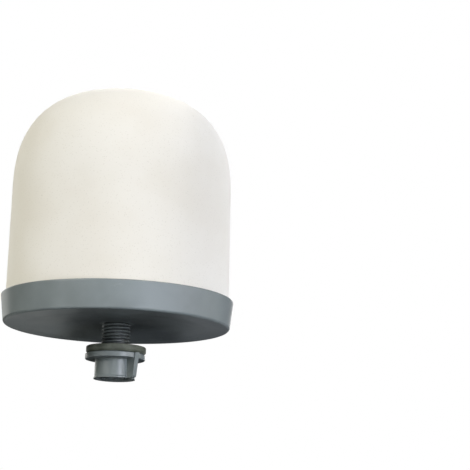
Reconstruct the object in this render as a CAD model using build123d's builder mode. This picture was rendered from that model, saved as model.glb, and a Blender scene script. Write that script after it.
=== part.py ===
from build123d import *
import os
from math import cos, radians, sin

# Domed ceramic gravity-filter element with a threaded outlet stem, in millimetres.
# The origin is on the axis, in the plane of the land that the base seats on.
# +Z runs up through the dome; the outlet stem points down.

# Base pan
seat_radius = 50.0  # outside, at the lower edge
rim_radius = 51.45  # outside, at the top edge
rim_top = 12.6
pan_wall = 1.6
floor_top = 3.6
land_inner_radius = 40.0  # the flat land runs from here to the lower edge
dish_height = 1.5  # the underside rises this far towards the stem
dish_flat_radius = 16.0
lower_edge_round = 1.2
upper_edge_round = 0.7
dam_radius = 41.0  # outside of the upstand that locates the ceramic
dam_wall = 1.6
support_top = 9.0  # top of the upstand and of the ribs
rib_count = 12
rib_width = 1.2
rib_inner_radius = 17.0

# Ceramic dome
ceramic_foot = 5.5
foot_radius = 48.7
foot_taper_top = 11.5
collar_radius = 49.35  # where the dome leaves the base
shoulder_radius = 48.75
shoulder_height = 57.7
apex_height = 105.7
crown_power = 2.6  # superellipse exponent of the crown
ceramic_wall = 8.0
crown_steps = 12

# Adhesive between the ceramic and the base
bead_top = 12.95

# Filling and what holds it
grid_thickness = 1.4
grid_radius = 41.0
grid_hole_radius = 1.4
grid_rings = ((9.0, 8), (17.0, 16), (25.0, 24), (33.0, 32))  # ring radius, holes
felt_thickness = 4.0
felt_radius = 41.0
bed_gap = 0.35  # between the carbon and the ceramic
bed_headroom = 3.0  # under the top of the dome

# Outlet stem
pitch = 1.5
thread_major = 6.35
thread_minor = 5.5
thread_crest = 0.34  # width of the crest along the axis
thread_root = 0.30
ridge_sink = 0.1  # how far the ridge is sunk into the core
stem_end = -21.0
thread_lead = 3.55  # how far below the stem's end the threads are laid on from
thread_start = stem_end - thread_lead  # the same for both threads, so they are in step
stem_turns = 18
stem_point_radius = 5.3
stem_bore = 3.75
neck_radius = 7.5
head_radius = 16.0
head_thickness = 2.2
screen_radius = 9.0
screen_thickness = 0.8
screen_hole_radius = 0.55
screen_rings = ((1.5, 6), (3.0, 12))

# Sealing washer
washer_radius = 13.2
washer_hole = 6.8
washer_top = -8.9
washer_bottom = -12.0
washer_off_centre = 0.3  # it hangs loose on the stem
washer_round = 0.5
washer_bevel = 0.8

# Wing nut
nut_top = -12.25
flange_bottom = -14.65
nut_bottom = -23.2
flange_radius = 13.2
flange_round = 0.35
barrel_radius = 8.8
lip_radius = 9.15
lip_height = 0.5
lip_slope = 0.6
mouth_radius = 7.7
mouth_top = -20.2
mouth_bevel = 0.6
thread_play = 0.15  # between the stem's thread and the nut's, in and out and along
nut_turns = 9
nut_lead_in = 0.7
tooth_count = 12
tooth_tip_radius = 6.75
tooth_width = 1.3
tooth_bottom = -22.5
wing_angle = -43.0  # degrees from +X
wing_thickness = 2.3
wing_top_reach = 14.0
wing_bottom_reach = 12.5
wing_corner = 1.3
overlap = 0.4  # how far a joined shape is sunk into the one it grows from
near = 0.1  # how far from a stated radius an edge is looked for

os.makedirs("parts", exist_ok=True)


def pan_outside(height):
    """Outside radius of the base pan, which widens evenly towards its top."""
    return seat_radius + (rim_radius - seat_radius) * height / rim_top


def pan_inside(height):
    """Inside radius of the pan's wall."""
    return pan_outside(height) - pan_wall


def crown(radius, height, base):
    """Points of a superellipse from the shoulder, straight up, to the apex, level."""
    quarter_turns = [radians(90 * step / crown_steps) for step in range(crown_steps + 1)]
    power = 2 / crown_power
    return [
        (radius * max(cos(t), 0) ** power, base + height * sin(t) ** power)
        for t in quarter_turns[:-1]
    ] + [(0, base + height)]


def threaded_rod(major, minor, crest, root, turns):
    """A right-hand threaded rod: a plain core and one ridge, laid on turn by turn."""
    slope = (pitch - crest - root) / 2 / (major - minor)
    sunk_radius = minor - ridge_sink
    sunk_half = (pitch - root) / 2 + slope * ridge_sink
    with BuildPart() as ridge:
        with BuildLine() as path:
            Helix(pitch=pitch, height=pitch, radius=sunk_radius)
        with BuildSketch(Plane.XZ) as section:
            with BuildLine():
                Polyline(
                    (sunk_radius, -sunk_half),
                    (major, -crest / 2),
                    (major, crest / 2),
                    (sunk_radius, sunk_half),
                    close=True,
                )
            make_face()
        sweep(sections=section.sketch, path=path.line, is_frenet=True)
    with BuildPart() as rod:
        with BuildSketch(Plane.XY.offset(thread_start - pitch)):
            Circle(minor)
        extrude(amount=(turns + 2) * pitch)
        with Locations(*[(0, 0, thread_start + pitch * turn) for turn in range(turns)]):
            add(ridge.part, clean=False)
    return rod.part


# Base pan: floor, sloping wall, upstand and ribs.
with BuildPart() as base_pan:
    with BuildSketch(Plane.XZ) as pan_profile:
        with BuildLine():
            Polyline(
                (neck_radius, dish_height),
                (dish_flat_radius, dish_height),
                (land_inner_radius, 0),
                (seat_radius, 0),
                (rim_radius, rim_top),
                (pan_inside(rim_top), rim_top),
                (pan_inside(floor_top), floor_top),
                (dam_radius, floor_top),
                (dam_radius, support_top),
                (dam_radius - dam_wall, support_top),
                (dam_radius - dam_wall, floor_top),
                (neck_radius, floor_top),
                close=True,
            )
        make_face()
        fillet(pan_profile.vertices().group_by(Axis.Y)[0].sort_by(Axis.X)[-1], lower_edge_round)
        fillet(pan_profile.vertices().sort_by(Axis.X)[-1], upper_edge_round)
    revolve(axis=Axis.Z)
    rib_outer_radius = dam_radius - dam_wall + overlap
    with BuildSketch(Plane.XY.offset(floor_top)):
        with PolarLocations((rib_inner_radius + rib_outer_radius) / 2, rib_count):
            Rectangle(rib_outer_radius - rib_inner_radius, rib_width)
    extrude(amount=support_top - floor_top)
base_pan.part.label = "base_pan"
export_step(base_pan.part, "parts/base_pan.step")

# Ceramic dome: an even wall, open at the foot.
crown_height = apex_height - shoulder_height
outer_crown = crown(shoulder_radius, crown_height, shoulder_height)
inner_crown = crown(shoulder_radius - ceramic_wall, crown_height - ceramic_wall, shoulder_height)
with BuildPart() as ceramic_dome:
    with BuildSketch(Plane.XZ):
        with BuildLine():
            Polyline(
                (collar_radius - ceramic_wall, ceramic_foot),
                (foot_radius, ceramic_foot),
                (collar_radius, foot_taper_top),
                outer_crown[0],
            )
            Spline(*outer_crown, tangents=((0, 1), (-1, 0)))
            Line(outer_crown[-1], inner_crown[-1])
            Spline(*inner_crown[::-1], tangents=((1, 0), (0, -1)))
            Line(inner_crown[0], (collar_radius - ceramic_wall, ceramic_foot))
        make_face()
    revolve(axis=Axis.Z)
ceramic_dome.part.label = "ceramic_dome"
export_step(ceramic_dome.part, "parts/ceramic_dome.step")

# Adhesive: a bed under the ceramic's foot and a skin up its outside, ending in a bead.
bead_radius = collar_radius - (collar_radius - shoulder_radius) * (
    (bead_top - foot_taper_top) / (shoulder_height - foot_taper_top)
)
with BuildPart() as adhesive_ring:
    with BuildSketch(Plane.XZ):
        with BuildLine():
            Polyline(
                (dam_radius, floor_top),
                (pan_inside(floor_top), floor_top),
                (pan_inside(rim_top), rim_top),
                (bead_radius, bead_top),
                (collar_radius, foot_taper_top),
                (foot_radius, ceramic_foot),
                (dam_radius, ceramic_foot),
                close=True,
            )
        make_face()
    revolve(axis=Axis.Z)
adhesive_ring.part.label = "adhesive_ring"
export_step(adhesive_ring.part, "parts/adhesive_ring.step")

# Grid: a perforated plate on the ribs that carries the filling.
with BuildPart() as media_grid:
    with BuildSketch(Plane.XY.offset(support_top)):
        Circle(grid_radius)
        for ring_radius, holes in grid_rings:
            with PolarLocations(ring_radius, holes):
                Circle(grid_hole_radius, mode=Mode.SUBTRACT)
    extrude(amount=grid_thickness)
media_grid.part.label = "media_grid"
export_step(media_grid.part, "parts/media_grid.step")

# Felt pad: keeps the carbon's dust out of the water.
felt_bottom = support_top + grid_thickness
with BuildPart() as felt_pad:
    with BuildSketch(Plane.XY.offset(felt_bottom)):
        Circle(felt_radius)
    extrude(amount=felt_thickness)
felt_pad.part.label = "felt_pad"
export_step(felt_pad.part, "parts/felt_pad.step")

# Carbon bed: fills the dome above the felt.
bed_bottom = felt_bottom + felt_thickness
bed_crown = crown(
    shoulder_radius - ceramic_wall - bed_gap,
    crown_height - ceramic_wall - bed_headroom,
    shoulder_height,
)
with BuildPart() as carbon_bed:
    with BuildSketch(Plane.XZ):
        with BuildLine():
            Polyline(
                bed_crown[-1],
                (0, bed_bottom),
                (shoulder_radius - ceramic_wall - bed_gap, bed_bottom),
                bed_crown[0],
            )
            Spline(*bed_crown, tangents=((0, 1), (-1, 0)))
        make_face()
    revolve(axis=Axis.Z)
carbon_bed.part.label = "carbon_bed"
export_step(carbon_bed.part, "parts/carbon_bed.step")

# Outlet stem: a hollow threaded stem with a neck through the pan's floor and a head on it.
head_top = floor_top + head_thickness
stem_thread = threaded_rod(thread_major, thread_minor, thread_crest, thread_root, stem_turns)
with BuildPart() as outlet_stem:
    add(stem_thread)
    with BuildSketch(Plane.XZ):
        point_height = thread_major - stem_point_radius
        with BuildLine():
            Polyline(
                (0, stem_end),
                (stem_point_radius, stem_end),
                (thread_major + overlap, stem_end + point_height + overlap),
                (thread_major + overlap, dish_height),
                (0, dish_height),
                close=True,
            )
        make_face()
    revolve(axis=Axis.Z, mode=Mode.INTERSECT)
    with BuildSketch(Plane.XY.offset(dish_height)):
        Circle(neck_radius)
    extrude(amount=floor_top - dish_height)
    with BuildSketch(Plane.XY.offset(floor_top)):
        Circle(head_radius)
    extrude(amount=head_thickness)
    with BuildSketch(Plane.XY.offset(head_top)):
        Circle(screen_radius)
    extrude(amount=-screen_thickness, mode=Mode.SUBTRACT)
    with BuildSketch(Plane.XY.offset(head_top)):
        Circle(stem_bore)
    extrude(amount=stem_end - head_top, mode=Mode.SUBTRACT)
outlet_stem.part.label = "outlet_stem"
export_step(outlet_stem.part, "parts/outlet_stem.step")

# Outlet screen: a perforated disc let into the stem's head.
with BuildPart() as outlet_screen:
    with BuildSketch(Plane.XY.offset(head_top - screen_thickness)):
        Circle(screen_radius)
        Circle(screen_hole_radius, mode=Mode.SUBTRACT)
        for ring_radius, holes in screen_rings:
            with PolarLocations(ring_radius, holes):
                Circle(screen_hole_radius, mode=Mode.SUBTRACT)
    extrude(amount=screen_thickness)
outlet_screen.part.label = "outlet_screen"
export_step(outlet_screen.part, "parts/outlet_screen.step")

# Sealing washer: rounded above, bevelled below, hanging a little off centre.
with BuildPart() as sealing_washer:
    with BuildSketch(Plane.XZ.move(Location((washer_off_centre, 0, 0)))):
        with BuildLine():
            Polyline(
                (washer_hole, washer_bottom),
                (washer_radius - washer_bevel, washer_bottom),
                (washer_radius, washer_bottom + washer_bevel),
                (washer_radius, washer_top),
                (washer_hole, washer_top),
                close=True,
            )
        profile = make_face()
        fillet(profile.vertices().group_by(Axis.Y)[-1].sort_by(Axis.X)[-1], washer_round)
    revolve(axis=Axis((washer_off_centre, 0, 0), (0, 0, 1)))
sealing_washer.part.label = "sealing_washer"
export_step(sealing_washer.part, "parts/sealing_washer.step")

# Wing nut: flange, barrel with a flared lip, one wing, thread and a toothed mouth.
flank_slope = (pitch - thread_crest - thread_root) / 2 / (thread_major - thread_minor)
nut_groove = threaded_rod(
    thread_major + thread_play,
    thread_minor + thread_play,
    thread_crest + 2 * thread_play - 2 * flank_slope * thread_play,
    thread_root - 2 * thread_play + 2 * flank_slope * thread_play,
    nut_turns,
)
wing_direction = Vector(1, 0, 0).rotate(Axis.Z, wing_angle)
wing_side = wing_direction.cross(Vector(0, 0, 1))
with BuildPart() as wing:
    with BuildSketch(Plane(origin=(0, 0, 0), x_dir=wing_direction, z_dir=wing_side)):
        with BuildLine():
            Polyline(
                (barrel_radius - overlap, nut_top),
                (wing_top_reach, nut_top),
                (wing_bottom_reach, nut_bottom),
                (barrel_radius - overlap, nut_bottom),
                close=True,
            )
        profile = make_face()
        fillet(profile.vertices().group_by(Axis.Y)[0].sort_by(Axis.X)[-1], wing_corner)
    extrude(amount=wing_thickness / 2, both=True)
with BuildPart() as wing_nut:
    with BuildSketch(Plane.XZ):
        with BuildLine():
            Polyline(
                (0, nut_bottom),
                (lip_radius, nut_bottom),
                (lip_radius, nut_bottom + lip_height),
                (barrel_radius, nut_bottom + lip_height + lip_slope),
                (barrel_radius, flange_bottom),
                (flange_radius, flange_bottom),
                (flange_radius, nut_top),
                (0, nut_top),
                close=True,
            )
        profile = make_face()
        flange_edges = profile.vertices().filter_by_position(
            Axis.X, flange_radius - near, flange_radius + near
        )
        fillet(flange_edges, flange_round)
    revolve(axis=Axis.Z)
    add(wing.part)
    add(nut_groove, mode=Mode.SUBTRACT)
    with BuildSketch(Plane.XZ):
        with BuildLine():
            Polyline(
                (0, nut_bottom),
                (mouth_radius + mouth_bevel, nut_bottom),
                (mouth_radius, nut_bottom + mouth_bevel),
                (mouth_radius, mouth_top),
                (0, mouth_top),
                close=True,
            )
        make_face()
    revolve(axis=Axis.Z, mode=Mode.SUBTRACT)
    with BuildSketch(Plane.XZ):
        with BuildLine():
            Polyline(
                (0, nut_top),
                (thread_minor + thread_play + nut_lead_in + overlap, nut_top),
                (thread_minor + thread_play, nut_top - nut_lead_in - overlap),
                (0, nut_top - nut_lead_in - overlap),
                close=True,
            )
        make_face()
    revolve(axis=Axis.Z, mode=Mode.SUBTRACT)
    with BuildSketch(Plane.XY.offset(tooth_bottom)):
        tooth_length = mouth_radius + overlap - tooth_tip_radius
        with PolarLocations(tooth_tip_radius + tooth_length / 2, tooth_count):
            Rectangle(tooth_length, tooth_width)
    extrude(amount=mouth_top + overlap - tooth_bottom)
wing_nut.part.label = "wing_nut"
export_step(wing_nut.part, "parts/wing_nut.step")
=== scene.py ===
# Ceramic dome filter element: finishes, filling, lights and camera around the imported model.
# Everything is in metres; the origin is on the stem's axis, in the plane the base seats on.
import bpy
import math
import numpy as np
from mathutils import Matrix, Vector


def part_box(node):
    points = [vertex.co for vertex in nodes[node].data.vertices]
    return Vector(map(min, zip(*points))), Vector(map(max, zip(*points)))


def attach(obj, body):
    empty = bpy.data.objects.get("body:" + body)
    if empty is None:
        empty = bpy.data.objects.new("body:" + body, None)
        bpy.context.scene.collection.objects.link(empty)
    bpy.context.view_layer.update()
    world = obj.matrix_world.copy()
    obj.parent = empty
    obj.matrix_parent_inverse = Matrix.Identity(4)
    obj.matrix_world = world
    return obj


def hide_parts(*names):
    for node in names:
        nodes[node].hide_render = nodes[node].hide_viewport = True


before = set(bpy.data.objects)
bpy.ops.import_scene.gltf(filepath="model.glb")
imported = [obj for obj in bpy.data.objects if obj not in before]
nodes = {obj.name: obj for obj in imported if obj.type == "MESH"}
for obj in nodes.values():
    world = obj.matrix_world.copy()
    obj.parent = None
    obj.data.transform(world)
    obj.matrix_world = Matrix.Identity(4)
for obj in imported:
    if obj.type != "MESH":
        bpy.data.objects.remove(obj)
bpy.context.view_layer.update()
print("frame loaded:", len(nodes), "nodes")


# Camera: a little below the base and in front of it, looking up.
cameraSettings = {
    "sideways": 0.05117,  # from the stem's axis, towards +X
    "distance": 0.87379,
    "below": 0.13667,  # the seating plane
    "pitch": 11.631,  # degrees up
    "roll": 1.719,
    "lens": 153.19,
    "sensor": 36.0,
    "near": 0.05,
    "far": 20.0,
}


def makeCamera(s):
    # Looks along +Y, pitched up, then rolled about its own line of sight.
    pitch, roll = math.radians(s["pitch"]), math.radians(s["roll"])
    forward = Vector((0, math.cos(pitch), math.sin(pitch)))
    level = Vector((1, 0, 0))
    upright = level.cross(forward)
    right = math.cos(roll) * level + math.sin(roll) * upright
    up = math.cos(roll) * upright - math.sin(roll) * level
    turn = Matrix((right, up, -forward)).transposed().to_4x4()
    data = bpy.data.cameras.new("camera")
    data.lens, data.sensor_width = s["lens"], s["sensor"]
    data.clip_start, data.clip_end = s["near"], s["far"]
    camera = bpy.data.objects.new("camera", data)
    bpy.context.scene.collection.objects.link(camera)
    camera.matrix_world = Matrix.Translation((s["sideways"], -s["distance"], -s["below"])) @ turn
    bpy.context.scene.camera = camera


makeCamera(cameraSettings)
print("camera made")


# Lamps on a sphere round the element: degrees from -Y towards +X, and degrees up.
lampSettings = {
    "key": {"bearing": 36, "height": 8, "size": 0.36, "watts": 0.58, "tint": (0.87, 0.90, 1.0)},
    "leftFill": {"bearing": -45, "height": 25, "size": 0.36, "watts": 0.86, "tint": (1.0, 0.97, 0.87)},
    "front": {"bearing": 0, "height": 5, "size": 0.34, "watts": 0.12, "tint": (0.96, 1.0, 0.92)},
    "right": {"bearing": 70, "height": 14, "size": 0.50, "watts": 0.58, "tint": (0.98, 0.96, 0.96)},
    "rightEdge": {"bearing": 105, "height": 10, "size": 0.60, "watts": 0.18, "tint": (1.0, 0.98, 0.76)},
    "backLeft": {"bearing": -145, "height": 16, "size": 0.50, "watts": 0.14, "tint": (1.0, 1.0, 0.96)},
    "back": {"bearing": 178, "height": 24, "size": 0.80, "watts": 1.50, "tint": (1.0, 0.99, 0.97)},
    "lowLeft": {"bearing": -30, "height": -30, "size": 0.30, "watts": 0.10, "tint": (1.0, 1.0, 0.88)},
    "lowRight": {"bearing": 30, "height": -30, "size": 0.30, "watts": 0.20, "tint": (0.88, 0.91, 1.0)},
}
sphereSettings = {
    "aim": (0, 0, 0.03),  # where every lamp points
    "away": 1.0,  # the sphere's radius
    "spread": 60,  # degrees, how wide a beam opens
}
# Glowing cards low behind the base, one on each side, which the satin underside picks up.
cardSettings = {
    "leftCard": {"at": (-0.068, 0.070, -0.045), "watts": 0.0092, "tint": (0.96, 1.0, 0.97)},
    "rightCard": {"at": (0.068, 0.070, -0.045), "watts": 0.0070, "tint": (0.88, 0.93, 1.0)},
}
cardSize = (0.084, 0.060)  # width and height
worldSettings = {
    "seen": 1.0,  # how bright it is to the camera
    "lit": 0.01,  # how much light it gives
}
floorSettings = {
    "half": 4.0,  # half its side
    "drop": 0.90,  # below the seating plane
    "colour": (0.80, 0.80, 0.79),
    "rough": 0.9,
    "glow": (0.86, 0.86, 0.85),
}


def placeLamp(name, at, aim, size, s):
    # An area lamp hidden from the camera's own rays.
    data = bpy.data.lights.new(name, "AREA")
    data.shape, data.size, data.size_y = "RECTANGLE", size[0], size[1]
    data.energy, data.color = s["watts"], s["tint"]
    lamp = bpy.data.objects.new(name, data)
    bpy.context.scene.collection.objects.link(lamp)
    turn = (aim - at).to_track_quat("-Z", "Y").to_matrix().to_4x4()
    lamp.matrix_world = Matrix.Translation(at) @ turn
    lamp.visible_camera = False
    return data


def makeLamp(name, s, sphere):
    # Stands at a bearing and a height on the sphere, aimed at the element, with a narrowed beam.
    bearing, height = math.radians(s["bearing"]), math.radians(s["height"])
    level = Vector((math.sin(bearing), -math.cos(bearing), 0))
    at = sphere["away"] * (math.cos(height) * level + math.sin(height) * Vector((0, 0, 1)))
    data = placeLamp(name, at, Vector(sphere["aim"]), (s["size"], s["size"]), s)
    data.spread = math.radians(sphere["spread"])


def makeCard(name, s, size):
    # Faces straight forward, along -Y.
    at = Vector(s["at"])
    placeLamp(name, at, at - Vector((0, 1, 0)), size, s)


def makeWorld(s):
    # White where the camera looks past the element, and dim as a source of light.
    world = bpy.data.worlds.new("studio")
    world.use_nodes = True
    tree = world.node_tree
    tree.nodes.clear()
    out = tree.nodes.new("ShaderNodeOutputWorld")
    path = tree.nodes.new("ShaderNodeLightPath")
    blend = tree.nodes.new("ShaderNodeMixShader")
    lit = tree.nodes.new("ShaderNodeBackground")
    seen = tree.nodes.new("ShaderNodeBackground")
    for background, strength in ((lit, s["lit"]), (seen, s["seen"])):
        background.inputs["Color"].default_value = (1, 1, 1, 1)
        background.inputs["Strength"].default_value = strength
    tree.links.new(path.outputs["Is Camera Ray"], blend.inputs["Fac"])
    tree.links.new(lit.outputs["Background"], blend.inputs[1])
    tree.links.new(seen.outputs["Background"], blend.inputs[2])
    tree.links.new(blend.outputs["Shader"], out.inputs["Surface"])
    bpy.context.scene.world = world
    bpy.context.scene.view_settings.view_transform = "Standard"


def makeFloor(s):
    # A plain pale sheet well below the hanging element; its glow is only for the camera.
    half, down = s["half"], -s["drop"]
    mesh = bpy.data.meshes.new("floor")
    corners = [(-half, -half, down), (half, -half, down), (half, half, down), (-half, half, down)]
    mesh.from_pydata(corners, [], [(0, 1, 2, 3)])
    floor = bpy.data.objects.new("floor", mesh)
    bpy.context.scene.collection.objects.link(floor)
    material = bpy.data.materials.new("floorPaper")
    material.use_nodes = True
    shader = material.node_tree.nodes["Principled BSDF"]
    shader.inputs["Base Color"].default_value = (*s["colour"], 1)
    shader.inputs["Roughness"].default_value = s["rough"]
    shader.inputs["Emission Color"].default_value = (*s["glow"], 1)
    path = material.node_tree.nodes.new("ShaderNodeLightPath")
    material.node_tree.links.new(path.outputs["Is Camera Ray"], shader.inputs["Emission Strength"])
    mesh.materials.append(material)


for lampName, oneLamp in lampSettings.items():
    makeLamp(lampName, oneLamp, sphereSettings)
for cardName, oneCard in cardSettings.items():
    makeCard(cardName, oneCard, cardSize)
makeWorld(worldSettings)
makeFloor(floorSettings)
print("lamps, world and floor made")


# Node helpers
def newTree(name):
    # A material with nodes, its tree and its Principled shader.
    material = bpy.data.materials.new(name)
    material.use_nodes = True
    tree = material.node_tree
    return material, tree, tree.nodes["Principled BSDF"]


def feed(tree, socket, value):
    # Links a socket to another one's output, or gives it a plain value.
    if isinstance(value, bpy.types.NodeSocket):
        tree.links.new(value, socket)
    else:
        socket.default_value = value


def addNode(tree, kind, links=(), settings=None, **sockets):
    # One node: settings are its properties, sockets its plain inputs, links the sockets fed by others.
    node = tree.nodes.new(kind)
    for name, value in (settings or {}).items():
        setattr(node, name, value)
    for name, value in sockets.items():
        node.inputs[name].default_value = value
    for source, socket in links:
        tree.links.new(source, node.inputs[socket])
    return node


def mathNode(tree, operation, *values, clamp=False):
    # A Math node between sockets or plain numbers.
    node = tree.nodes.new("ShaderNodeMath")
    node.operation, node.use_clamp = operation, clamp
    for index, value in enumerate(values):
        feed(tree, node.inputs[index], value)
    return node.outputs[0]


def rampNode(tree, value, limits=(0.0, 1.0), onto=(0.0, 1.0)):
    # Goes smoothly from the first of onto, at the lower limit, to the second, at the upper one.
    node = tree.nodes.new("ShaderNodeMapRange")
    node.interpolation_type = "SMOOTHSTEP"
    for name, number in zip(("From Min", "From Max", "To Min", "To Max"), (*limits, *onto)):
        node.inputs[name].default_value = number
    tree.links.new(value, node.inputs["Value"])
    return node.outputs["Result"]


def noiseNode(tree, place, scale, **sockets):
    # Cloudy noise at a place; its scale is a socket or a plain number.
    node = addNode(tree, "ShaderNodeTexNoise", [(place, "Vector")], **sockets)
    feed(tree, node.inputs["Scale"], scale)
    return node.outputs["Fac"]


def cellNode(tree, place, scale):
    # Scattered cells: the distance to the nearest cell's middle, and a colour of its own for each cell.
    return addNode(tree, "ShaderNodeTexVoronoi", [(place, "Vector")], Scale=scale).outputs


def splitColour(tree, colour):
    return addNode(tree, "ShaderNodeSeparateColor", [(colour, "Color")]).outputs


def stretchPlace(tree, place, factors):
    # A place with each of its coordinates multiplied by its own factor.
    node = addNode(tree, "ShaderNodeVectorMath", [(place, 0)], {"operation": "MULTIPLY"})
    feed(tree, node.inputs[1], factors)
    return node.outputs["Vector"]


def mixColour(tree, share, first, second):
    # Mixes two colours, each a socket or a plain colour, by a socket from 0 to 1.
    node = tree.nodes.new("ShaderNodeMix")
    node.data_type = "RGBA"
    tree.links.new(share, node.inputs["Factor"])
    for label, value in (("A_Color", first), ("B_Color", second)):
        socket = next(one for one in node.inputs if one.identifier == label)
        feed(tree, socket, (*value, 1) if isinstance(value, tuple) else value)
    return next(one for one in node.outputs if one.identifier == "Result_Color")


def shaded(colour, factor):
    # A plain colour made darker or lighter.
    return tuple(channel * factor for channel in colour)


def connect(tree, shader, colour, rough, height, s):
    # Feeds the shader its colour and roughness, and its normal from a height.
    tree.links.new(colour, shader.inputs["Base Color"])
    tree.links.new(rough, shader.inputs["Roughness"])
    bump = addNode(tree, "ShaderNodeBump", [(height, "Height")], Strength=s["bump"], Distance=s["bumpDepth"])
    tree.links.new(bump.outputs["Normal"], shader.inputs["Normal"])


def objectPlace(tree):
    return tree.nodes.new("ShaderNodeTexCoord").outputs["Object"]


def newGroup(name, inputs, outputs):
    # An empty shader node group; inputs are (name, socket type, usual value).
    group = bpy.data.node_groups.new(name, "ShaderNodeTree")
    for label, kind, usual in inputs:
        group.interface.new_socket(label, in_out="INPUT", socket_type=kind).default_value = usual
    for label in outputs:
        group.interface.new_socket(label, in_out="OUTPUT", socket_type="NodeSocketFloat")
    return group, group.nodes.new("NodeGroupInput").outputs, group.nodes.new("NodeGroupOutput").inputs


def placeGroup(tree, group, **values):
    # Puts a group into a material with its own values.
    node = tree.nodes.new("ShaderNodeGroup")
    node.node_tree = group
    for name, value in values.items():
        node.inputs[name].default_value = value
    return node.outputs


# Shared effects; pairs are the limits of a ramp
effectSettings = {
    "grainDetail": 4.0,
    "grainRoughness": 0.6,
    "cloudDetail": 3.0,
    "cloudLimits": (0.30, 0.70),
    "bevelSamples": 6,
    "edgeLimits": (0.02, 0.20),
    "wearDetail": 5.0,
    "wearRoughness": 0.7,
    "wearLimits": (0.40, 0.62),
    "lineDetail": 2.0,
    "lineDistortion": 0.6,
    "lineLimits": (0.0, 0.006),
    "scratchedSize": 45.0,
    "scratchedDetail": 2.0,
    "scratchedLimits": (0.56, 0.66),
}


def makeGrainGroup(s):
    # Fine grain as a height, and a slow cloudiness from 0 to 1: two sizes of noise.
    inputs = [
        ("grainSize", "NodeSocketFloat", 900.0),
        ("cloudSize", "NodeSocketFloat", 40.0),
    ]
    group, given, out = newGroup("fineGrain", inputs, ["height", "cloud"])
    place = objectPlace(group)
    detail, roughness = s["grainDetail"], s["grainRoughness"]
    grain = noiseNode(group, place, given["grainSize"], Detail=detail, Roughness=roughness)
    cloud = noiseNode(group, place, given["cloudSize"], Detail=s["cloudDetail"])
    group.links.new(grain, out["height"])
    group.links.new(rampNode(group, cloud, s["cloudLimits"]), out["cloud"])
    return group


def makeWearGroup(s):
    # Edge wear: an edge is where the rounded normal leaves the true one, and noise breaks it up.
    inputs = [
        ("width", "NodeSocketFloat", 0.0006),
        ("patchSize", "NodeSocketFloat", 160.0),
        ("amount", "NodeSocketFloat", 0.5),
    ]
    group, given, out = newGroup("edgeWear", inputs, ["wear"])
    rounded = addNode(group, "ShaderNodeBevel", [(given["width"], "Radius")], {"samples": s["bevelSamples"]})
    flat = group.nodes.new("ShaderNodeNewGeometry")
    links = [(rounded.outputs["Normal"], 0), (flat.outputs["True Normal"], 1)]
    along = addNode(group, "ShaderNodeVectorMath", links, {"operation": "DOT_PRODUCT"})
    edge = rampNode(group, mathNode(group, "SUBTRACT", 1.0, along.outputs["Value"]), s["edgeLimits"])
    detail, roughness = s["wearDetail"], s["wearRoughness"]
    patches = noiseNode(group, objectPlace(group), given["patchSize"], Detail=detail, Roughness=roughness)
    broken = mathNode(group, "MULTIPLY", edge, rampNode(group, patches, s["wearLimits"]))
    group.links.new(mathNode(group, "MULTIPLY", broken, given["amount"], clamp=True), out["wear"])
    return group


def makeScratchGroup(s):
    # Fine scratches: thin lines where a stretched noise crosses its middle, kept in a few patches.
    inputs = [
        ("lineSize", "NodeSocketFloat", 60.0),
        ("stretch", "NodeSocketVector", (1.0, 1.0, 9.0)),
        ("amount", "NodeSocketFloat", 0.4),
    ]
    group, given, out = newGroup("scratches", inputs, ["scratch"])
    place = objectPlace(group)
    stretched = stretchPlace(group, place, given["stretch"])
    detail, distortion = s["lineDetail"], s["lineDistortion"]
    lines = noiseNode(group, stretched, given["lineSize"], Detail=detail, Distortion=distortion)
    away = mathNode(group, "ABSOLUTE", mathNode(group, "SUBTRACT", lines, 0.5))
    line = rampNode(group, away, s["lineLimits"], (1.0, 0.0))
    patches = noiseNode(group, place, s["scratchedSize"], Detail=s["scratchedDetail"])
    kept = mathNode(group, "MULTIPLY", line, rampNode(group, patches, s["scratchedLimits"]))
    group.links.new(mathNode(group, "MULTIPLY", kept, given["amount"], clamp=True), out["scratch"])
    return group


fineGrain = makeGrainGroup(effectSettings)
edgeWear = makeWearGroup(effectSettings)
scratches = makeScratchGroup(effectSettings)


def dress(nodeName, material):
    # Gives a CAD node its one material.
    mesh = nodes[nodeName].data
    mesh.materials.clear()
    mesh.materials.append(material)


# Ceramic: unglazed and matt, cream with faint clouds, fine pits darkened with painted shade, and a few rubbed
# grey specks
ceramicSettings = {
    "pale": (0.800, 0.783, 0.745),
    "warm": (0.760, 0.736, 0.686),
    "rough": (0.74, 0.90),
    "grainLimits": (0.2, 0.8),
    "grainSize": 1300.0,
    "cloudSize": 28.0,
    "pitSize": 900.0,
    "pitLimits": (0.0, 0.28),
    "pitShadeTone": 0.88,
    "pitHeight": 0.5,
    "speck": (0.52, 0.50, 0.45),
    "speckSize": 95.0,
    "speckLimits": (0.02, 0.06),
    "speckChosen": (0.90, 0.94),  # of the cells' random values, the highest ones get a speck
    "speckStrength": 0.5,
    "bump": 0.10,
    "bumpDepth": 0.0003,
    "specular": 0.25,
    "powdery": 1.0,  # a powdery surface keeps its brightness towards the outline
    "sheen": 0.25,
}


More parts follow.
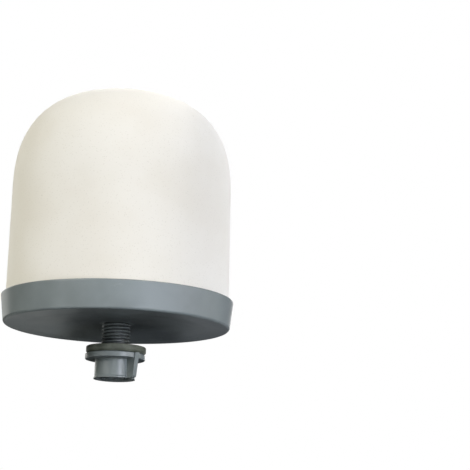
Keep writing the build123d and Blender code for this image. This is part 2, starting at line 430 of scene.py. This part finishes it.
def makeCeramic(s):
    material, tree, shader = newTree("porousCeramic")
    grain = placeGroup(tree, fineGrain, grainSize=s["grainSize"], cloudSize=s["cloudSize"])
    place = objectPlace(tree)
    pit = rampNode(tree, cellNode(tree, place, s["pitSize"])["Distance"], s["pitLimits"])
    clouded = mixColour(tree, grain["cloud"], s["warm"], s["pale"])
    # Painted shade: each pit's colour is darker towards its middle.
    pitted = mixColour(tree, pit, shaded(s["warm"], s["pitShadeTone"]), clouded)
    specks = cellNode(tree, place, s["speckSize"])
    near = rampNode(tree, specks["Distance"], s["speckLimits"], (1.0, 0.0))
    chosen = rampNode(tree, splitColour(tree, specks["Color"])["Red"], s["speckChosen"])
    speck = mathNode(tree, "MULTIPLY", mathNode(tree, "MULTIPLY", near, chosen), s["speckStrength"])
    rough = rampNode(tree, grain["height"], s["grainLimits"], s["rough"])
    height = mathNode(tree, "ADD", grain["height"], mathNode(tree, "MULTIPLY", pit, s["pitHeight"]))
    connect(tree, shader, mixColour(tree, speck, pitted, s["speck"]), rough, height, s)
    shader.inputs["Specular IOR Level"].default_value = s["specular"]
    shader.inputs["Diffuse Roughness"].default_value = s["powdery"]
    shader.inputs["Sheen Weight"].default_value = s["sheen"]
    return material


dress("ceramic_dome", makeCeramic(ceramicSettings))
print("ceramic finished")


# Grey plastic: satin moulding with a fine skin, rubbed edges and a few light scratches, with painted shade
# darkening it close to the stem's axis
panSettings = {
    "name": "basePlastic",
    "base": (0.188, 0.218, 0.231),
    "tones": (0.90, 1.10),  # how dark and how light its clouds are
    "worn": (0.40, 0.43, 0.44),
    "rough": (0.34, 0.46),
    "wornRough": 0.2,  # added where it is rubbed or scratched
    "grainSize": 1500.0,
    "cloudSize": 55.0,
    "bump": 0.05,
    "bumpDepth": 0.0003,
    "edgeWidth": 0.0008,
    "edge": 0.75,
    "patchSize": 210.0,
    "lineSize": 38.0,
    "scratch": 0.50,
    "paintedShadeLimits": (0.006, 0.034),  # distances from the axis between which the painted shade round the stem fades out
    "paintedShadeTone": 0.50,
}
stemSettings = {
    "name": "stemPlastic",
    "base": (0.178, 0.205, 0.212),
    "tones": (0.90, 1.10),
    "worn": (0.38, 0.41, 0.42),
    "rough": (0.28, 0.40),
    "wornRough": 0.2,
    "grainSize": 1700.0,
    "cloudSize": 120.0,
    "bump": 0.04,
    "bumpDepth": 0.0003,
    "edgeWidth": 0.0003,
    "edge": 0.55,
    "patchSize": 420.0,
    "lineSize": 70.0,
    "scratch": 0.35,
    "paintedShadeLimits": (0.0056, 0.0062),  # painted shade: dark in the thread's grooves, none on its crests
    "paintedShadeTone": 0.27,
}


def axisDistance(tree):
    # How far a point of the surface is from the vertical axis.
    level = stretchPlace(tree, objectPlace(tree), (1, 1, 0))
    return addNode(tree, "ShaderNodeVectorMath", [(level, 0)], {"operation": "LENGTH"}).outputs["Value"]


def makePlastic(s):
    material, tree, shader = newTree(s["name"])
    grain = placeGroup(tree, fineGrain, grainSize=s["grainSize"], cloudSize=s["cloudSize"])
    wear = placeGroup(tree, edgeWear, width=s["edgeWidth"], patchSize=s["patchSize"], amount=s["edge"])
    scratch = placeGroup(tree, scratches, lineSize=s["lineSize"], amount=s["scratch"])
    marks = mathNode(tree, "MAXIMUM", wear["wear"], scratch["scratch"])
    dark, light = (shaded(s["base"], factor) for factor in s["tones"])
    # Painted shade: the colour is darker close to the stem's axis, over the base's middle and in the thread's
    # grooves.
    clean = rampNode(tree, axisDistance(tree), s["paintedShadeLimits"])
    clouded = mixColour(tree, grain["cloud"], dark, light)
    tone = mixColour(tree, clean, shaded(s["base"], s["paintedShadeTone"]), clouded)
    smooth = rampNode(tree, grain["cloud"], onto=s["rough"])
    rough = mathNode(tree, "ADD", smooth, mathNode(tree, "MULTIPLY", marks, s["wornRough"]), clamp=True)
    connect(tree, shader, mixColour(tree, marks, tone, s["worn"]), rough, grain["height"], s)
    return material


stemPlastic = makePlastic(stemSettings)
dress("base_pan", makePlastic(panSettings))
dress("outlet_stem", stemPlastic)
dress("wing_nut", stemPlastic)
print("base, stem and nut finished")


# Rubber: dull dark olive with a dusty bloom
rubberSettings = {
    "base": (0.082, 0.093, 0.072),
    "dusty": (0.215, 0.230, 0.190),
    "dust": 0.55,
    "rough": (0.58, 0.78),
    "grainSize": 1100.0,
    "cloudSize": 260.0,
    "bump": 0.15,
    "bumpDepth": 0.0003,
    "edgeWidth": 0.0005,
    "edge": 0.55,
    "patchSize": 300.0,
}


def makeRubber(s):
    material, tree, shader = newTree("sealRubber")
    grain = placeGroup(tree, fineGrain, grainSize=s["grainSize"], cloudSize=s["cloudSize"])
    wear = placeGroup(tree, edgeWear, width=s["edgeWidth"], patchSize=s["patchSize"], amount=s["edge"])
    dusty = mathNode(tree, "MAXIMUM", mathNode(tree, "MULTIPLY", grain["cloud"], s["dust"]), wear["wear"])
    rough = rampNode(tree, grain["cloud"], onto=s["rough"])
    connect(tree, shader, mixColour(tree, dusty, s["base"], s["dusty"]), rough, grain["height"], s)
    return material


dress("sealing_washer", makeRubber(rubberSettings))
print("washer finished")


# White plastic inside: the grid under the filling and the screen over the outlet
whiteSettings = {
    "clean": (0.74, 0.75, 0.73),
    "stained": (0.60, 0.59, 0.52),
    "stain": 0.35,
    "rough": (0.36, 0.52),
    "grainSize": 1400.0,
    "cloudSize": 90.0,
    "bump": 0.05,
    "bumpDepth": 0.0003,
    "edgeWidth": 0.0003,
    "edge": 0.5,
    "patchSize": 240.0,
}


def makeWhitePlastic(s):
    material, tree, shader = newTree("whitePlastic")
    grain = placeGroup(tree, fineGrain, grainSize=s["grainSize"], cloudSize=s["cloudSize"])
    wear = placeGroup(tree, edgeWear, width=s["edgeWidth"], patchSize=s["patchSize"], amount=s["edge"])
    stained = mathNode(tree, "MAXIMUM", mathNode(tree, "MULTIPLY", grain["cloud"], s["stain"]), wear["wear"])
    rough = rampNode(tree, grain["cloud"], onto=s["rough"])
    connect(tree, shader, mixColour(tree, stained, s["clean"], s["stained"]), rough, grain["height"], s)
    return material


whitePlastic = makeWhitePlastic(whiteSettings)
dress("media_grid", whitePlastic)
dress("outlet_screen", whitePlastic)


# Adhesive: a milky bead with trapped bubbles
adhesiveSettings = {
    "milky": (0.70, 0.69, 0.62),
    "clear": (0.58, 0.57, 0.50),
    "rough": (0.22, 0.42),
    "grainSize": 700.0,
    "cloudSize": 130.0,
    "bubbleSize": 620.0,
    "bubbleLimits": (0.12, 0.24),
    "bubbleHeight": 0.4,
    "bump": 0.35,
    "bumpDepth": 0.0003,
}


def makeAdhesive(s):
    material, tree, shader = newTree("milkyAdhesive")
    grain = placeGroup(tree, fineGrain, grainSize=s["grainSize"], cloudSize=s["cloudSize"])
    bubbles = cellNode(tree, objectPlace(tree), s["bubbleSize"])
    bubble = rampNode(tree, bubbles["Distance"], s["bubbleLimits"])
    milky = mathNode(tree, "MULTIPLY", grain["cloud"], bubble)
    rough = rampNode(tree, grain["cloud"], onto=s["rough"])
    height = mathNode(tree, "ADD", grain["height"], mathNode(tree, "MULTIPLY", bubble, s["bubbleHeight"]))
    connect(tree, shader, mixColour(tree, milky, s["clear"], s["milky"]), rough, height, s)
    return material


dress("adhesive_ring", makeAdhesive(adhesiveSettings))
print("grid, screen and adhesive finished")


# Filling: closed forms turned about the stem's axis, with relief from seeded noise
def smoothNoise(rows, segments, passes, seed):
    # Random values on the grid, each averaged with its four neighbours, then spread from 0 to 1.
    values = np.random.default_rng(seed).random((rows, segments))
    for _ in range(passes):
        beside = np.roll(values, 1, 1) + np.roll(values, -1, 1)
        values = (values + beside + np.roll(values, 1, 0) + np.roll(values, -1, 0)) / 5
    return (values - values.min()) / np.ptp(values)


turnedSettings = {
    "leastRadius": 0.0001,
    "discSpan": (0.04, 0.97),  # shares of the radius that a flat end's rows lie between
}


def turnedPiece(name, profile, outward, push, body, material):
    # Point (i, j) stands at angle 2 pi j / n, at the profile's radius and height moved in by push[i, j]
    # against the profile's outward direction. A single point on the axis closes each end.
    rows, segments = push.shape
    radius = np.maximum(profile[:, :1] - push * outward[:, :1], turnedSettings["leastRadius"])
    height = profile[:, 1:] - push * outward[:, 1:]
    angle = np.arange(segments) * (2 * np.pi / segments)
    around = np.stack([radius * np.cos(angle), radius * np.sin(angle), height], axis=-1).reshape(-1, 3)
    ends = [[0, 0, height[0].mean()], [0, 0, height[-1].mean()]]
    step, nextStep = np.arange(segments), (np.arange(segments) + 1) % segments
    row = (np.arange(rows - 1) * segments)[:, None]
    corners = [row + step, row + nextStep, row + segments + nextStep, row + segments + step]
    quads = np.stack(corners, axis=-1).reshape(-1, 4)
    lastRow, points = (rows - 1) * segments, rows * segments
    lower = np.stack([np.full(segments, points), nextStep, step], axis=-1)
    upper = np.stack([np.full(segments, points + 1), lastRow + step, lastRow + nextStep], axis=-1)
    mesh = bpy.data.meshes.new(name)
    mesh.from_pydata(np.vstack([around, ends]).tolist(), [], quads.tolist() + lower.tolist() + upper.tolist())
    mesh.shade_smooth()
    mesh.materials.append(material)
    piece = bpy.data.objects.new(name, mesh)
    bpy.context.scene.collection.objects.link(piece)
    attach(piece, body)
    return piece


def discRows(radius, height, count, down):
    # Rows of a flat end, from near the axis outwards, or back inwards on the upper end.
    reach = radius * np.linspace(*turnedSettings["discSpan"], count)
    reach = reach if down else reach[::-1]
    rows = np.stack([reach, np.full(count, height)], axis=-1)
    return rows, np.tile([0.0, -1.0 if down else 1.0], (count, 1))


# Carbon bed: loose granules packed against the ceramic
carbonSettings = {
    "segments": 260,
    "floorRows": 40,
    "sideRows": 56,
    "crownRows": 70,
    "shoulder": 0.0577,
    "crownPower": 2.6,
    "crownTurn": (1, 89.2),  # degrees
    "inset": 0.0001,
    "granule": 0.0011,
    "smoothing": 1,
    "seed": 7,
    "black": (0.010, 0.010, 0.011),
    "ashy": (0.045, 0.044, 0.043),
    "rough": (0.32, 0.70),
    "cellSize": 620.0,
    "grainSize": 2400.0,
    "grainHeight": 0.3,
    "cloudSize": 150.0,
    "bump": 0.6,
    "bumpDepth": 0.0006,
}


def makeCarbonMaterial(s):
    material, tree, shader = newTree("activatedCarbon")
    grain = placeGroup(tree, fineGrain, grainSize=s["grainSize"], cloudSize=s["cloudSize"])
    cells = cellNode(tree, objectPlace(tree), s["cellSize"])
    tone = splitColour(tree, cells["Color"])
    ashy = mathNode(tree, "MULTIPLY", tone["Red"], grain["cloud"])
    rough = rampNode(tree, tone["Green"], onto=s["rough"])
    grit = mathNode(tree, "MULTIPLY", grain["height"], s["grainHeight"])
    facets = mathNode(tree, "SUBTRACT", grit, cells["Distance"])
    connect(tree, shader, mixColour(tree, ashy, s["black"], s["ashy"]), rough, facets, s)
    return material


def makeCarbonBed(s):
    # Profile: flat floor, upright side to the shoulder, then a quarter superellipse
    # r = R cos^(2/p) t, z = shoulder + h sin^(2/p) t, for t from 0 to a right angle.
    low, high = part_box("carbon_bed")
    full, shoulder = (high[0] - low[0]) / 2, s["shoulder"]
    floorRows, floorOut = discRows(full, low[2], s["floorRows"], True)
    up = np.linspace(low[2] + s["inset"], shoulder, s["sideRows"])
    side = np.stack([np.full(s["sideRows"], full), up], axis=-1)
    turn = np.radians(np.linspace(*s["crownTurn"], s["crownRows"]))
    power = 2 / s["crownPower"]
    rise = shoulder + (high[2] - shoulder) * np.sin(turn) ** power
    crown = np.stack([full * np.cos(turn) ** power, rise], axis=-1)
    profile = np.vstack([floorRows, side, crown])
    sideOut = np.tile([1.0, 0.0], (s["sideRows"], 1))
    outward = np.vstack([floorOut, sideOut, np.stack([np.cos(turn), np.sin(turn)], axis=-1)])
    relief = smoothNoise(len(profile), s["segments"], s["smoothing"], s["seed"])
    push = s["inset"] + s["granule"] * relief
    bed = turnedPiece("carbonGranules", profile, outward, push, "element", makeCarbonMaterial(s))
    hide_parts("carbon_bed")


makeCarbonBed(carbonSettings)
print("carbon bed made")


# Felt pad: a thick disc, pressed to the grid below and the granules above
feltSettings = {
    "segments": 200,
    "faceRows": 46,
    "edgeRows": 9,
    "inset": 0.00012,
    "relief": 0.00030,
    "corner": 0.0011,
    "smoothing": 4,
    "seed": 11,
    "white": (0.80, 0.79, 0.75),
    "shade": (0.60, 0.58, 0.53),
    "rough": (0.96, 0.86),
    "fibreSize": 520.0,
    "fibreStretch": (1.0, 1.0, 4.0),
    "fibreDetail": 3.0,
    "fibreDistortion": 1.6,
    "fibreLimits": (0.35, 0.65),
    "grainSize": 2600.0,
    "grainHeight": 0.5,
    "cloudSize": 110.0,
    "bump": 0.5,
    "bumpDepth": 0.0004,
    "sheen": 0.25,
}


def makeFeltMaterial(s):
    material, tree, shader = newTree("whiteFelt")
    grain = placeGroup(tree, fineGrain, grainSize=s["grainSize"], cloudSize=s["cloudSize"])
    stretched = stretchPlace(tree, objectPlace(tree), s["fibreStretch"])
    detail, distortion = s["fibreDetail"], s["fibreDistortion"]
    fibres = noiseNode(tree, stretched, s["fibreSize"], Detail=detail, Distortion=distortion)
    fibre = rampNode(tree, fibres, s["fibreLimits"])
    shade = mathNode(tree, "MULTIPLY", mathNode(tree, "SUBTRACT", 1.0, fibre), grain["cloud"])
    rough = rampNode(tree, fibre, onto=s["rough"])
    height = mathNode(tree, "ADD", fibre, mathNode(tree, "MULTIPLY", grain["height"], s["grainHeight"]))
    connect(tree, shader, mixColour(tree, shade, s["white"], s["shade"]), rough, height, s)
    shader.inputs["Sheen Weight"].default_value = s["sheen"]
    return material


def makeFeltPad(s):
    # Profile: lower face outwards, a quarter round, the edge's upper quarter round, upper face inwards.
    low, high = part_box("felt_pad")
    full, corner = (high[0] - low[0]) / 2, s["corner"]
    under, underOut = discRows(full - corner, low[2], s["faceRows"], True)
    over, overOut = discRows(full - corner, high[2], s["faceRows"], False)
    turn = np.radians(np.linspace(-90, 90, 2 * s["edgeRows"]))
    edgeOut = np.stack([np.cos(turn), np.sin(turn)], axis=-1)
    middle = np.where(turn < 0, low[2] + corner, high[2] - corner)
    edge = np.stack([full - corner + corner * np.cos(turn), middle + corner * np.sin(turn)], axis=-1)
    profile, outward = np.vstack([under, edge, over]), np.vstack([underOut, edgeOut, overOut])
    relief = smoothNoise(len(profile), s["segments"], s["smoothing"], s["seed"])
    push = s["inset"] + s["relief"] * relief
    pad = turnedPiece("feltDisc", profile, outward, push, "element", makeFeltMaterial(s))
    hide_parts("felt_pad")


makeFeltPad(feltSettings)
print("felt pad made")
